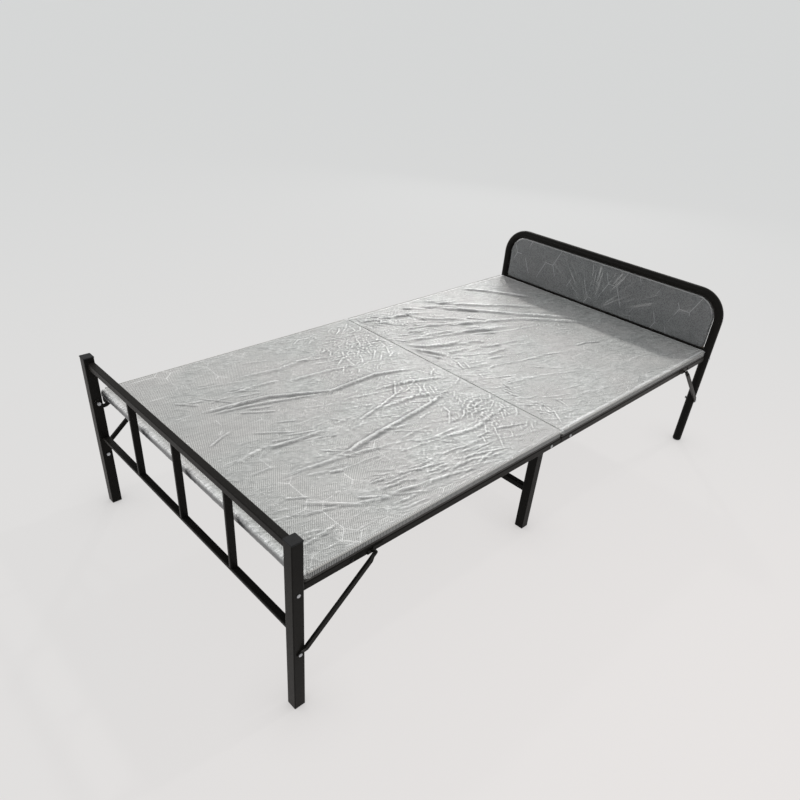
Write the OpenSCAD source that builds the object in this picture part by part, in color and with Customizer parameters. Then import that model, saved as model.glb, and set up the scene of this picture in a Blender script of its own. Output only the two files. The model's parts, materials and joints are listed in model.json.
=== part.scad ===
// Folding cot: two deck halves on a mid frame, a barred foot frame and a bent-tube
// headboard frame. X runs from the foot to the head, +Y is the left side seen from the
// foot, and the origin lies on the floor under the fold. Millimetres.

/* [Deck] */
// Length of each deck half, from the fold to its outer end
half_l = 936; // [800:4:1000]
// Width of the deck over its side rails
deck_w = 1000; // [760:10:1200]
// Height of the rail centres, on which every pivot lies
axis_z = 370; // [330:5:420]
// Side of the square rail tube
rail_s = 20; // [16:1:24]
// Wall of the rail and crossbar tubes
rail_t = 1.2; // [0.8:0.1:2]
// Gap between the ends of the two rails at the fold
rail_seam = 3; // [2.8:0.2:6]
// Gap between the two boards and the two pads at the fold
pad_seam = 1.6; // [1:0.2:4]
// Thickness of the deck board
board_t = 7; // [5:0.5:12]
// How far the board stops inside the outer face of the rails
board_in = 2; // [1:0.5:6]
// Thickness of the sponge pad
pad_t = 18; // [10:1:30]
// How far the pad stops inside the outer face of the rails
pad_in = 1; // [0.8:0.2:4]
// How far the pad hangs over the outer end of the deck
pad_over = 2; // [0:0.5:3]
// Radius of the pad's long edges
pad_r = 8; // [3:1:9]
// Radius of the pad's corners seen from above
pad_corner = 22; // [12:1:60]
// Distance of the inner cross tube from the fold
cross_in = 88; // [70:2:160]
// Distance of the outer cross tube from the end of the rails
cross_out = 132; // [100:2:150]
// Distances of the board screws from the middle of the bed
screw_y = [-330, 0, 330];

/* [Mid frame] */
// Side of the square mid leg tube
mid_s = 30; // [24:1:34]
// Distance of the mid legs' outer face inside the rails' outer face
mid_in = 55.5; // [30:0.5:90]
// Height of the underside of the mid cross bar
mid_bar_z = 138; // [80:2:240]
// Side of the mid cross bar's tube
mid_bar_s = 20; // [14:1:24]
// Depth of the mid top bar
mid_top_h = 19; // [14:1:19]
// Clearance between the folded foot legs and head legs
fold_gap = 3; // [2:0.5:10]

/* [Plates and pins] */
// Thickness of the lug and link plates
plate_t = 4; // [3:0.5:5]
// Clearance between a plate and the rail beside it
plate_gap = 0.8; // [0.5:0.1:1.2]
// Radius of the fold and leg pivot pins
pin_r = 3; // [2.5:0.5:4]
// How far the heads of bolts and rivets stand out round their shanks
head_lip = 1.9; // [1.4:0.1:3]
// Height of the bolts' and rivets' heads
head_h = 2.4; // [1.6:0.2:3.6]
// Height of the nuts
nut_h = 4.8; // [3:0.2:6]
// Radial running clearance of a pin in its hole
fit_c = 0.05; // [0.02:0.01:0.09]
// Radius of the lugs' round eyes, which turn under the board
eye_r = 9.5; // [8.5:0.25:9.5]
// Height of the crescent's centre above the pivots
crescent_rise = 7; // [4:1:10]
// Width of a lug's crescent
crescent_w = 11; // [8:0.5:13]
// How far the pivot lies in from the end of the rail, less than half the rail
pivot_less = 1; // [0:0.25:3]

/* [Foot frame] */
// Side of the square leg tube
leg_s = 30; // [26:1:32]
// Wall of the leg tubes
leg_t = 1.5; // [1:0.1:2.5]
// How far the legs' outer face stands outside the rails
leg_out = 12; // [11:0.5:16]
// Clearance between the rail's end and the leg
foot_gap = 7; // [6.5:0.5:12]
// Height of the foot frame with its caps
foot_h = 516; // [450:2:620]
// Height of the foot frame's top rail's upper face
top_rail_z = 499; // [430:1:500]
// Height of the foot frame's lower rail's underside
low_rail_z = 240; // [200:2:300]
// Depth of the foot frame's rails and uprights along the bed
bar_d = 20; // [12:1:22]
// Height of the lower rail and width of an upright
bar_w = 10; // [8:1:16]
// Setback of the rails and uprights from the leg's outer face
bar_set = 9; // [3:0.5:10]
// Number of uprights
upright_n = 3; // [1:1:5]
// Spacing of the uprights
upright_pitch = 240; // [120:5:240]
// Overhang of the leg caps round the tube
cap_over = 1; // [0.4:0.1:2]

/* [Headboard frame] */
// Diameter of the bent tube
hoop_d = 32; // [26:1:34]
// Wall of the bent tube
hoop_t = 1.5; // [1:0.1:2.5]
// Clearance between the rail's end and the bent tube
head_gap = 6; // [6:0.5:12]
// Height of the bent tube's top centre line
hoop_z = 606; // [560:2:680]
// Bend radius of the tube's centre line
bend_r = 94; // [60:2:120]
// Height of the head cross bar's upper face
head_bar_z = 404; // [400:1:420]
// Thickness of the headboard's board
panel_t = 9; // [6:0.5:12]
// Thickness of the headboard's sponge and cover
cover_t = 5.2; // [3:0.2:8]
// Gap beside the headboard panel
panel_gap = 4.5; // [2:0.5:12]

/* [Braces] */
// Height of the brace bolts in the legs
brace_z = 188; // [140:2:230]
// Distance of the foot brace's stud from its bolt along the bed
foot_run = 211; // [180:1:240]
// Distance of the head brace's stud from its bolt along the bed
head_run = 190; // [180:1:240]
// Width of the brace tube
brace_w = 13; // [10:1:14]
// Depth of the brace tube
brace_d = 7; // [5:0.5:12]
// Distance from a brace's bolt or stud to the end of its flat
brace_flat = 9; // [8:1:24]
// Length over which the flat swells into the tube
brace_ramp = 10; // [6:1:16]
// Thickness of its flattened ends
flat_t = 3; // [2:0.5:4]
// Radius of the brace bolts and studs
stud_r = 3; // [2.5:0.5:4]
// Thickness of the hook plates
hook_t = 3; // [2:0.5:4]
// Half the height of the hook plates
hook_h = 8; // [6:0.5:9]
// Reach of a hook's wing, from the stud towards the fold
hook_wing = 34; // [16:1:40]
// Reach of a hook's nose, from the stud towards the leg
hook_nose = 12; // [11:0.5:16]

/* [Hidden] */
$fn = 48;

// Heights of the deck
rail_top = axis_z + rail_s / 2;
rail_low = axis_z - rail_s / 2;
board_top = rail_top + board_t;
lay = 0.2;                    // paint and glue line between stacked pieces
pad_top = board_top + pad_t;

// Stations of the cross tubes: the middle one halves the space
cross_x = [cross_in, (cross_in + half_l - cross_out) / 2, half_l - cross_out];

// Planes across the bed
rail_y = deck_w / 2 - rail_s / 2;
rail_in_y = deck_w / 2 - rail_s;
plate_y1 = rail_in_y - plate_gap;
plate_y0 = plate_y1 - plate_t;
leg_face_y = deck_w / 2 + leg_out;
leg_y = leg_face_y - leg_s / 2;
hoop_y = plate_y1 + 0.3 + hoop_d / 2;
hoop_face_y = hoop_y + hoop_d / 2;
brace_y = max(leg_face_y, hoop_face_y) + 0.5;

// Stations along the bed, all measured from the fold
pivot_x = half_l - rail_s / 2 + pivot_less;
leg_x = half_l + foot_gap + leg_s / 2;
hoop_x = half_l + head_gap + hoop_d / 2;
foot_reach = leg_x - pivot_x;
head_reach = hoop_x - pivot_x;
link_c = fold_gap + foot_reach + leg_s / 2 + head_reach + hoop_d / 2;

// Small clearances and round-overs
hole_c = 0.1;                 // radial clearance of a fixed pin in its hole
bolt_end = 1.1;               // what shows of a bolt behind its nut
tube_r = 2.5;                 // corner radius of the tubes
plug_c = 0.25;                // clearance of a plastic plug in its tube
plug_l = 14;
end_plug_l = 4;
cap_t = 3;
foot_t = 5;
leg_top = foot_h - cap_t;

// Foot frame bars, measured from the fold
bar_x = leg_x + leg_s / 2 - bar_set - bar_d / 2;

// Headboard panel
panel_x0 = hoop_x - panel_t / 2 + 1.5;
panel_half = hoop_y - hoop_d / 2 - panel_gap;
panel_low = head_bar_z + 0.4;
panel_top = hoop_z - hoop_d / 2 - 0.5;
panel_r = bend_r - hoop_d / 2 - 2;
head_bar_s = 20;
tab_t = 2;
tab_w = 30;
tab_x = panel_x0 + panel_t + 0.2;
tab_y = [-300, 300];
tab_h = 24;

// Colours
paint = [0.07, 0.07, 0.075];
plastic = [0.05, 0.05, 0.055];
zinc = [0.72, 0.73, 0.75];
pad_grey = [0.72, 0.72, 0.71];
panel_grey = [0.40, 0.41, 0.41];

// ---- helpers ----

// Draws its children on the left and mirrored on the right
module both_sides() {
    children();
    mirror([0, 1, 0]) children();
}

// Extrudes a profile drawn as (x, z) between two planes across the bed
module xz_plate(y0, y1) {
    translate([0, y1, 0]) rotate([90, 0, 0]) linear_extrude(y1 - y0) children();
}

// Extrudes a section drawn as (y, z) between two stations along the bed
module yz_bar(x0, x1) {
    translate([x0, 0, 0]) rotate([90, 0, 90]) linear_extrude(x1 - x0) children();
}

// A round rod across the bed
module y_rod(r, y0, y1) {
    translate([0, y1, 0]) rotate([90, 0, 0]) cylinder(r = r, h = y1 - y0);
}

// A rectangle with true round corners, centred
module rounded(a, b, r) {
    square([a - 2 * r, b], center = true);
    square([a, b - 2 * r], center = true);
    for (i = [-1, 1], j = [-1, 1])
        translate([i * (a / 2 - r), j * (b / 2 - r)]) circle(r);
}

// The section of a rolled tube
module tube_section(a, b, t) {
    difference() {
        rounded(a, b, tube_r);
        rounded(a - 2 * t, b - 2 * t, max(tube_r - t, 0.4));
    }
}

// A domed bolt or rivet head standing out from a plane, towards +Y
module dome_head(r, h) {
    rotate([-90, 0, 0]) {
        cylinder(r = r, h = h * 0.55);
        translate([0, 0, h * 0.55]) cylinder(r1 = r, r2 = r * 0.62, h = h * 0.45);
    }
}

// A nut between a plane and the middle of the bed, towards -Y
module nut(r, h, bore) {
    rotate([90, 0, 0]) difference() {
        cylinder(r = r, h = h, $fn = 6);
        translate([0, 0, -1]) cylinder(r = bore, h = h + 2);
    }
}

// ---- deck half, drawn on the head side; the foot half is its mirror image ----

module side_rails() {
    color(paint) both_sides() difference() {
        translate([0, rail_y, axis_z]) yz_bar(rail_seam / 2, half_l)
            tube_section(rail_s, rail_s, rail_t);
        // the leg pivot enters the inner wall only
        translate([pivot_x, 0, axis_z]) y_rod(pin_r + hole_c, rail_in_y - 1, rail_in_y + rail_s / 2);
        // the fold rivet goes right through
        translate([link_c / 2, 0, axis_z]) y_rod(pin_r + hole_c, rail_in_y - 1, deck_w / 2 + 1);
        // the rivet that ties the outer cross tube
        translate([cross_x[2], 0, axis_z]) y_rod(2.5 + hole_c, rail_in_y - 1, deck_w / 2 + 1);
    }
}

module cross_tubes() {
    color(paint) for (x = cross_x) difference() {
        translate([x, 0, axis_z]) rotate([90, 0, 0])
            linear_extrude(2 * rail_in_y, center = true) tube_section(rail_s, rail_s, rail_t);
        for (y = screw_y) translate([x, y, axis_z]) cylinder(r = 2 + hole_c, h = rail_s);
    }
}

module deck_board() {
    color([0.10, 0.09, 0.085]) difference() {
        translate([(half_l - 1 + pad_seam / 2) / 2, 0, rail_top + lay]) linear_extrude(board_t - lay)
            rounded(half_l - 1 - pad_seam / 2, deck_w - 2 * board_in, 8);
        for (x = cross_x, y = screw_y) translate([x, y, rail_top]) {
            cylinder(r = 2 + hole_c, h = board_t + 1);
            translate([0, 0, board_t - 2.5]) cylinder(r1 = 2 + hole_c, r2 = 4.6 + hole_c, h = 2.52);
        }
    }
}

module board_screws() {
    color(zinc) for (x = cross_x, y = screw_y) translate([x, y, 0]) {
        translate([0, 0, board_top - 2.5]) cylinder(r1 = 2, r2 = 4.6, h = 2.5);
        translate([0, 0, rail_top - 8]) cylinder(r = 2, h = board_t + 6);
    }
}

// The profile of the pad along the bed: a slab with round top edges and a short lip
// that hangs over the board's outer end
module pad_side_profile() {
    l0 = pad_seam / 2;
    l1 = half_l + pad_over;
    lip = half_l - 0.7;
    translate([l0, board_top + lay]) square([l1 - l0, pad_t - lay - pad_r]);
    translate([l0 + 3, board_top + lay]) square([l1 - l0 - 3 - pad_r, pad_t - lay]);
    translate([l0 + 3, pad_top - 3]) circle(3);
    translate([l0, board_top + lay]) square([6, pad_t - lay - 3]);
    translate([l1 - pad_r, pad_top - pad_r]) circle(pad_r);
    translate([lip, rail_top + 0.6]) square([l1 - lip, board_t + 2]);
}

module pad_end_profile() {
    w = deck_w / 2 - pad_in;
    translate([-w, rail_top]) square([2 * w, board_t + pad_t - pad_r]);
    translate([-w + pad_r, rail_top]) square([2 * (w - pad_r), board_t + pad_t]);
    for (i = [-1, 1]) translate([i * (w - pad_r), pad_top - pad_r]) circle(pad_r);
}

// Seen from above the outer corners are round
module pad_plan() {
    w = deck_w / 2 - pad_in;
    l1 = half_l + pad_over;
    translate([0, -w]) square([l1 - pad_corner, 2 * w]);
    translate([0, -w + pad_corner]) square([l1, 2 * (w - pad_corner)]);
    for (i = [-1, 1]) translate([l1 - pad_corner, i * (w - pad_corner)]) circle(pad_corner);
}

module pad() {
    color(pad_grey) intersection() {
        xz_plate(-deck_w / 2, deck_w / 2) pad_side_profile();
        yz_bar(0, half_l + pad_over + 1) pad_end_profile();
        translate([0, 0, rail_top]) linear_extrude(board_t + pad_t + 1) pad_plan();
    }
}

module rail_plugs() {
    s = rail_s - 2 * rail_t - 2 * plug_c;
    color(plastic) both_sides() translate([0, rail_y, axis_z]) {
        yz_bar(half_l - end_plug_l, half_l) rounded(s, s, 1.5);
        yz_bar(rail_seam / 2, rail_seam / 2 + end_plug_l) rounded(s, s, 1.5);
    }
}

module rail_rivets() {
    color(paint) both_sides() translate([cross_x[2], 0, axis_z]) {
        y_rod(2.5, rail_in_y + 3, deck_w / 2);
        translate([0, deck_w / 2, 0]) dome_head(5, 2);
    }
}

// A hook open towards the top, with a long wing on the side away from the leg.
// The leg is on the +X side; the notch leans that way, because the stud leaves so.
module hooks(run) {
    x = (run == foot_run ? leg_x : hoop_x) - run;
    notch = stud_r + 0.5;
    color(paint) both_sides() translate([x, 0, axis_z]) xz_plate(deck_w / 2, deck_w / 2 + hook_t)
        difference() {
            union() {
                polygon([[hook_nose, -hook_h], [hook_nose, 1], [-5, hook_h],
                    [-hook_wing, hook_h], [-9, -hook_h]]);
            }
            circle(notch);
            polygon([[-notch, 0], [notch, 0], [notch + 9, hook_h + 12], [-notch, hook_h + 12]]);
        }
}

module pivot_pins() {
    color(zinc) both_sides() translate([pivot_x, 0, axis_z]) {
        y_rod(pin_r, plate_y0 - head_h, rail_in_y + rail_s / 2 - 1);
        y_rod(pin_r + head_lip, plate_y0 - 0.3 - head_h, plate_y0 - 0.3);
    }
}

module fold_rivets() {
    color(zinc) both_sides() translate([link_c / 2, 0, axis_z]) {
        y_rod(pin_r, plate_y0 - head_h, deck_w / 2);
        y_rod(pin_r + head_lip, plate_y0 - 0.3 - head_h, plate_y0 - 0.3);
        translate([0, deck_w / 2, 0]) dome_head(pin_r + head_lip, head_h);
    }
}

// ---- mid frame ----

mid_leg_y = deck_w / 2 - mid_in - mid_s / 2;
mid_top_z = axis_z + rail_s / 2 - 0.5 - mid_top_h;

module mid_legs() {
    color(paint) both_sides() translate([0, mid_leg_y, foot_t])
        linear_extrude(mid_top_z - foot_t) tube_section(mid_s, mid_s, leg_t);
}

module mid_cross_bar() {
    l = 2 * (mid_leg_y - mid_s / 2);
    color(paint) translate([0, 0, mid_bar_z + mid_bar_s / 2]) rotate([90, 0, 0])
        linear_extrude(l, center = true) tube_section(mid_bar_s, mid_bar_s, rail_t);
}

module mid_top_bar() {
    color(paint) translate([0, 0, mid_top_z + mid_top_h / 2]) rotate([90, 0, 0])
        linear_extrude(2 * plate_y0, center = true) tube_section(mid_s, mid_top_h, rail_t);
}

module fold_links() {
    r = rail_s / 2 - 0.5;
    color(paint) both_sides() translate([0, 0, axis_z]) difference() {
        xz_plate(plate_y0, plate_y1) union() {
            square([link_c, 2 * r], center = true);
            for (i = [-1, 1]) translate([i * link_c / 2, 0]) circle(r);
        }
        for (i = [-1, 1]) translate([i * link_c / 2, 0, 0])
            y_rod(pin_r + fit_c, plate_y0 - 1, plate_y1 + 1);
    }
}

// A bar across the bed with a chamfer of e along its two lower edges
module eased_bar(s, h, e) {
    a = s / 2;
    xz_plate(-a - 1, a + 1)
        polygon([[-a + e, 0], [a - e, 0], [a, e], [a, h], [-a, h], [-a, e]]);
}

// A square block with a chamfer of e round its underside
module eased_block(s, h, e, r) {
    intersection() {
        linear_extrude(h) rounded(s, s, r);
        eased_bar(s, h, e);
        rotate([0, 0, 90]) eased_bar(s, h, e);
    }
}

// The hollow spigot that grips the inside of a square tube
module spigot(s, t) {
    inner = s - 2 * t - 2 * plug_c;
    linear_extrude(plug_l) difference() {
        rounded(inner, inner, 1.2);
        rounded(inner - 5, inner - 5, 1);
    }
}

// A moulded foot: a block under the tube, and its spigot
module square_foot(s, t) {
    eased_block(s, foot_t, 1.5, tube_r);
    translate([0, 0, foot_t]) spigot(s, t);
}

module mid_feet() {
    color(plastic) both_sides() translate([0, mid_leg_y, 0]) square_foot(mid_s, leg_t);
}

// ---- foot frame, at the -X end ----

module foot_legs() {
    color(paint) both_sides() translate([-leg_x, leg_y, 0]) difference() {
        translate([0, 0, foot_t]) linear_extrude(leg_top - foot_t) tube_section(leg_s, leg_s, leg_t);
        translate([0, 0, axis_z]) y_rod(pin_r + hole_c, -leg_s, leg_s);
        translate([0, 0, brace_z]) y_rod(stud_r + hole_c, -leg_s, leg_s);
    }
}

module foot_leg_caps() {
    color(plastic) both_sides() translate([-leg_x, leg_y, leg_top]) {
        translate([0, 0, cap_t]) mirror([0, 0, 1])
            eased_block(leg_s + 2 * cap_over, cap_t, 1.4, tube_r + cap_over);
        translate([0, 0, -plug_l]) spigot(leg_s, leg_t);
    }
}

module foot_leg_feet() {
    color(plastic) both_sides() translate([-leg_x, leg_y, 0]) square_foot(leg_s, leg_t);
}

module foot_top_rail() {
    color(paint) translate([-bar_x, 0, top_rail_z - bar_d / 2]) rotate([90, 0, 0])
        linear_extrude(2 * (leg_y - leg_s / 2), center = true) tube_section(bar_d, bar_d, rail_t);
}

module foot_lower_rail() {
    color(paint) translate([-bar_x, 0, low_rail_z + bar_w / 2]) rotate([90, 0, 0])
        linear_extrude(2 * (leg_y - leg_s / 2), center = true) tube_section(bar_d, bar_w, rail_t);
}

module foot_uprights() {
    z0 = low_rail_z + bar_w;
    z1 = top_rail_z - bar_d;
    color(paint) for (i = [0 : upright_n - 1])
        translate([-bar_x, (i - (upright_n - 1) / 2) * upright_pitch, z0])
            linear_extrude(z1 - z0) tube_section(bar_d, bar_w, rail_t);
}

// A crescent plate with an eye at each horn: one is bolted to the leg, the other turns
// on the rail's pivot pin. reach is the distance between the eyes, and the leg's eye is
// at the origin with the pivot on the -X side.
module lug_profile(reach) {
    ring = reach / 2 + eye_r;
    translate([-reach / 2, 0]) {
        intersection() {
            translate([0, crescent_rise]) difference() {
                circle(ring);
                circle(ring - crescent_w);
            }
            translate([-ring, -ring]) square([2 * ring, ring]);
        }
        for (i = [-1, 1]) translate([i * reach / 2, 0]) circle(eye_r);
    }
}

module lugs(x, reach) {
    color(paint) both_sides() translate([x, 0, axis_z]) difference() {
        xz_plate(plate_y0, plate_y1) lug_profile(reach);
        y_rod(pin_r + hole_c, plate_y0 - 1, plate_y1 + 1);
        translate([-reach, 0, 0]) y_rod(pin_r + fit_c, plate_y0 - 1, plate_y1 + 1);
    }
}

module lug_bolts(x, face_y) {
    color(zinc) both_sides() translate([x, 0, axis_z]) {
        y_rod(pin_r, plate_y0 - lay - nut_h - bolt_end, face_y);
        translate([0, face_y, 0]) dome_head(pin_r + head_lip, head_h);
    }
}

module lug_nuts(x) {
    color(zinc) both_sides() translate([x, plate_y0 - lay, axis_z])
        nut(pin_r * 1.92, nut_h, pin_r + hole_c);
}

module brace_bolts(x, inner_y) {
    color(zinc) both_sides() translate([x, 0, brace_z]) {
        y_rod(stud_r, inner_y - lay - nut_h - bolt_end, brace_y + flat_t + 0.3);
        translate([0, brace_y + flat_t + 0.3, 0]) dome_head(stud_r + head_lip, head_h);
    }
}

module brace_nuts(x, inner_y) {
    color(zinc) both_sides() translate([x, inner_y - lay, brace_z])
        nut(stud_r * 1.92, nut_h, stud_r + hole_c);
}

module foot_lug_spacers() {
    inner_y = leg_face_y - leg_s;
    color(zinc) both_sides() translate([-leg_x, 0, axis_z]) difference() {
        y_rod(9, plate_y1 + 0.05, inner_y - 0.05);
        y_rod(pin_r + hole_c, plate_y1 - 1, inner_y + 1);
    }
}

// ---- headboard frame, at the +X end ----

// A bent rod of the hoop's centre line, with two straight legs from z0 upwards
module hoop_rod(r, z0) {
    z1 = hoop_z - bend_r;
    y1 = hoop_y - bend_r;
    both_sides() {
        translate([0, hoop_y, z0]) cylinder(r = r, h = z1 - z0);
        translate([0, y1, z1]) rotate([90, 0, 90]) rotate_extrude(angle = 90)
            translate([bend_r, 0]) circle(r);
    }
    translate([0, 0, hoop_z]) y_rod(r, -y1, y1);
}

module head_hoop() {
    z0 = 8;
    color(paint) translate([hoop_x, 0, 0]) difference() {
        hoop_rod(hoop_d / 2, z0);
        hoop_rod(hoop_d / 2 - hoop_t, z0);
        both_sides() {
            translate([0, hoop_y, z0 - 1]) cylinder(r = hoop_d / 2 - hoop_t, h = 2);
            translate([0, 0, axis_z]) y_rod(pin_r + hole_c, hoop_y - hoop_d, hoop_y + hoop_d);
            translate([0, 0, brace_z]) y_rod(stud_r + hole_c, hoop_y - hoop_d, hoop_y + hoop_d);
        }
    }
}

module head_cross_bar() {
    color(paint) translate([hoop_x, 0, 0]) difference() {
        translate([0, 0, head_bar_z - head_bar_s / 2]) rotate([90, 0, 0])
            linear_extrude(2 * (hoop_y - hoop_d / 4), center = true)
                tube_section(head_bar_s, head_bar_s, rail_t);
        both_sides() translate([0, hoop_y, 0]) cylinder(r = hoop_d / 2 + 0.05, h = hoop_z);
    }
}

// Outline of the headboard: square below, round above to follow the bent tube
module panel_profile() {
    h = panel_half;
    r = panel_r;
    translate([-h, panel_low]) square([2 * h, panel_top - panel_low - r]);
    translate([-h + r, panel_low]) square([2 * (h - r), panel_top - panel_low]);
    for (i = [-1, 1]) translate([i * (h - r), panel_top - r]) intersection() {
        circle(r);
        translate([-r, -1]) square([2 * r, r + 1]);
    }
}

module headboard() {
    color([0.30, 0.26, 0.22]) difference() {
        yz_bar(panel_x0, panel_x0 + panel_t) panel_profile();
        for (y = tab_y, z = [head_bar_z + tab_h / 2, panel_top - tab_h / 2])
            translate([panel_x0 + panel_t - 6, y, z]) rotate([0, 90, 0])
                cylinder(r = 1.8 + hole_c, h = 7);
    }
}

module headboard_cover() {
    color(panel_grey) yz_bar(panel_x0 - lay - cover_t, panel_x0 - lay) panel_profile();
}

module headboard_tabs() {
    color(paint) difference() {
        for (y = tab_y) {
            translate([tab_x, y - tab_w / 2, head_bar_z]) cube([tab_t, tab_w, tab_h]);
            translate([tab_x, y - tab_w / 2, panel_top - tab_h]) cube([tab_t, tab_w, tab_h + 6]);
        }
        translate([hoop_x, 0, hoop_z]) y_rod(hoop_d / 2 + 0.02, -deck_w / 2, deck_w / 2);
        for (y = tab_y, z = [head_bar_z + tab_h / 2, panel_top - tab_h / 2])
            translate([tab_x - 1, y, z]) rotate([0, 90, 0]) cylinder(r = 1.8 + hole_c, h = tab_t + 2);
    }
}

module headboard_screws() {
    color(zinc) for (y = tab_y, z = [head_bar_z + tab_h / 2, panel_top - tab_h / 2])
        translate([panel_x0 + panel_t - 5, y, z]) rotate([0, 90, 0]) {
            cylinder(r = 1.8, h = 5 + tab_t + 0.3);
            translate([0, 0, 5 + tab_t + 0.3]) cylinder(r1 = 4, r2 = 2.6, h = 2);
        }
}

// A moulded foot for the round tube: a domed pad with a spigot
module head_feet() {
    r = hoop_d / 2;
    ri = r - hoop_t - plug_c;
    color(plastic) both_sides() translate([hoop_x, hoop_y, 0]) rotate_extrude() {
        polygon([[0, 0], [r - 5, 0], [r - 2, 1.2], [r - 0.4, 4], [r, 8], [0, 8]]);
        translate([ri - 4, 7]) square([4, plug_l + 1]);
    }
}

// ---- braces ----

// A tube flattened at both ends, from its bolt at the origin to its stud at (l, 0).
// The flat ends lie on the inner side.
module brace_body(l) {
    end_r = brace_w / 2 + 0.5;
    swell = brace_flat + brace_ramp;
    difference() {
        intersection() {
            translate([0, 0, -end_r - 1]) linear_extrude(2 * end_r + 2)
                polygon([[-end_r, 0], [l + end_r, 0], [l + end_r, flat_t],
                    [l - brace_flat, flat_t], [l - swell, brace_d], [swell, brace_d],
                    [brace_flat, flat_t], [-end_r, flat_t]]);
            translate([0, -1, 0]) xz_plate(0, brace_d + 2) {
                circle(end_r);
                translate([l, 0]) circle(end_r);
                polygon([[0, -end_r], [brace_flat, -end_r], [swell, -brace_w / 2],
                    [l - swell, -brace_w / 2], [l - brace_flat, -end_r], [l, -end_r],
                    [l, end_r], [l - brace_flat, end_r], [l - swell, brace_w / 2],
                    [swell, brace_w / 2], [brace_flat, end_r], [0, end_r]]);
            }
        }
        y_rod(stud_r + fit_c, -1, flat_t + 1);
        translate([l, 0, 0]) y_rod(stud_r + hole_c, -1, flat_t + 1);
    }
}

// Puts a piece drawn from the bolt at the origin on the left side of a frame. The brace
// rises towards the fold: end is -1 at the foot and 1 at the head.
module at_brace(x, run, end) {
    rise = axis_z - brace_z;
    translate([x, brace_y, brace_z]) rotate([0, -atan2(rise, -end * run), 0]) children();
}

function brace_l(run) = sqrt(run * run + (axis_z - brace_z) * (axis_z - brace_z));

module brace(x, run, end) {
    color(paint) at_brace(x, run, end) brace_body(brace_l(run));
}

module stud(x, run, end) {
    color(paint) at_brace(x, run, end) translate([brace_l(run), 0, 0]) {
        y_rod(stud_r, deck_w / 2 + 0.4 - brace_y, flat_t);
        translate([0, flat_t, 0]) dome_head(stud_r + head_lip, 2);
    }
}

mirror([1, 0, 0]) side_rails();  // foot_side_rails
mirror([1, 0, 0]) cross_tubes();  // foot_cross_tubes
mirror([1, 0, 0]) deck_board();  // foot_board
mirror([1, 0, 0]) board_screws();  // foot_board_screws
mirror([1, 0, 0]) pad();  // foot_pad
mirror([1, 0, 0]) rail_plugs();  // foot_rail_plugs
mirror([1, 0, 0]) rail_rivets();  // foot_rail_rivets
mirror([1, 0, 0]) hooks(foot_run);  // foot_hooks
mirror([1, 0, 0]) pivot_pins();  // foot_pivot_pins
mirror([1, 0, 0]) fold_rivets();  // foot_fold_rivets
mid_legs();
mid_cross_bar();
mid_top_bar();
fold_links();
mid_feet();
side_rails();  // head_side_rails
cross_tubes();  // head_cross_tubes
deck_board();  // head_board
board_screws();  // head_board_screws
pad();  // head_pad
rail_plugs();  // head_rail_plugs
rail_rivets();  // head_rail_rivets
hooks(head_run);  // head_hooks
pivot_pins();  // head_pivot_pins
fold_rivets();  // head_fold_rivets
foot_legs();
foot_leg_caps();
foot_leg_feet();
foot_top_rail();
foot_lower_rail();
foot_uprights();
mirror([1, 0, 0]) lugs(leg_x, foot_reach);  // foot_lugs
foot_lug_spacers();
lug_bolts(-leg_x, leg_face_y);  // foot_lug_bolts
lug_nuts(-leg_x);  // foot_lug_nuts
brace_bolts(-leg_x, leg_face_y - leg_s);  // foot_brace_bolts
brace_nuts(-leg_x, leg_face_y - leg_s);  // foot_brace_nuts
head_hoop();
head_cross_bar();
headboard();
headboard_cover();
headboard_tabs();
headboard_screws();
head_feet();
lugs(hoop_x, head_reach);  // head_lugs
lug_bolts(hoop_x, hoop_face_y);  // head_lug_bolts
lug_nuts(hoop_x);  // head_lug_nuts
brace_bolts(hoop_x, hoop_y - hoop_d / 2);  // head_brace_bolts
brace_nuts(hoop_x, hoop_y - hoop_d / 2);  // head_brace_nuts
brace(-leg_x, foot_run, -1);  // foot_brace_left
mirror([0, 1, 0]) brace(-leg_x, foot_run, -1);  // foot_brace_right
brace(hoop_x, head_run, 1);  // head_brace_left
mirror([0, 1, 0]) brace(hoop_x, head_run, 1);  // head_brace_right
stud(-leg_x, foot_run, -1);  // foot_stud_left
mirror([0, 1, 0]) stud(-leg_x, foot_run, -1);  // foot_stud_right
stud(hoop_x, head_run, 1);  // head_stud_left
mirror([0, 1, 0]) stud(hoop_x, head_run, 1);  // head_stud_right
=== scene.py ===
# %% [markdown]
# # A folding cot, dressed
#
# This lesson dresses a folding single bed. Its steel parts come in finished as exact
# solids: two deck halves, a mid frame, a barred foot frame and a bent-tube headboard
# frame. They get their paint, zinc and plastic here. The soft things are made here: two
# sponge pads in a mesh-knit cover, the thin clear film that is stretched over each pad,
# and the cloth that covers the headboard.
#
# X runs along the bed from the foot to the head, +Y is its left side and Z is up. The
# origin lies on the floor under the middle fold. Lengths are in metres.

import json
import math

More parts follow.
